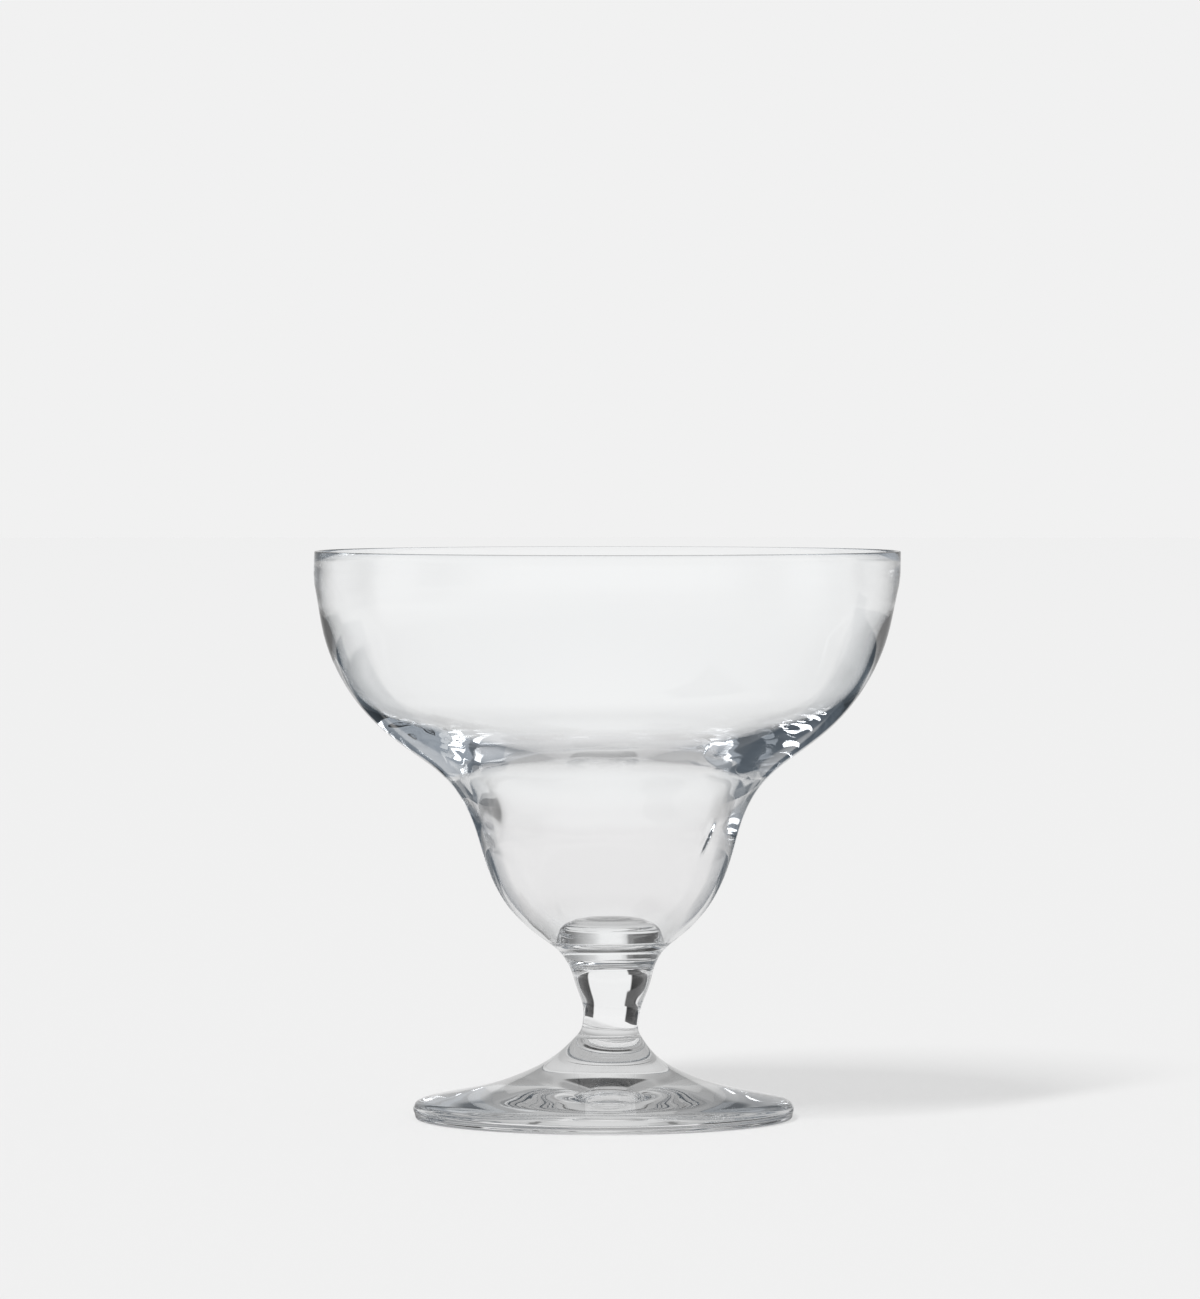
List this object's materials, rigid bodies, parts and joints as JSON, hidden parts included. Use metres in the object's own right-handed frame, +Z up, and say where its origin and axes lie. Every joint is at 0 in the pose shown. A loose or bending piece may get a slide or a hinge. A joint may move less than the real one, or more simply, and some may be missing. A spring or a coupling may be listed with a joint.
{
  "type": "dessert coupe",
  "caption": "Clear glass dessert coupe: a wide rounded bowl with a narrower well in its floor, on a short solid stem and a flared disc foot.",
  "frame": {"origin": "centre of the plane that the foot stands on", "axes": "+Z up along the axis of the bowl, stem and foot; X and Y lie in the standing plane"},
  "size_m": [0.11, 0.11, 0.1065],
  "materials": {
    "clear_glass": "fire-polished clear soda-lime glass"
  },
  "bodies": {
    "root": {"bowl": "clear_glass", "stem": "clear_glass", "foot": "clear_glass"}
  },
  "joints": []
}
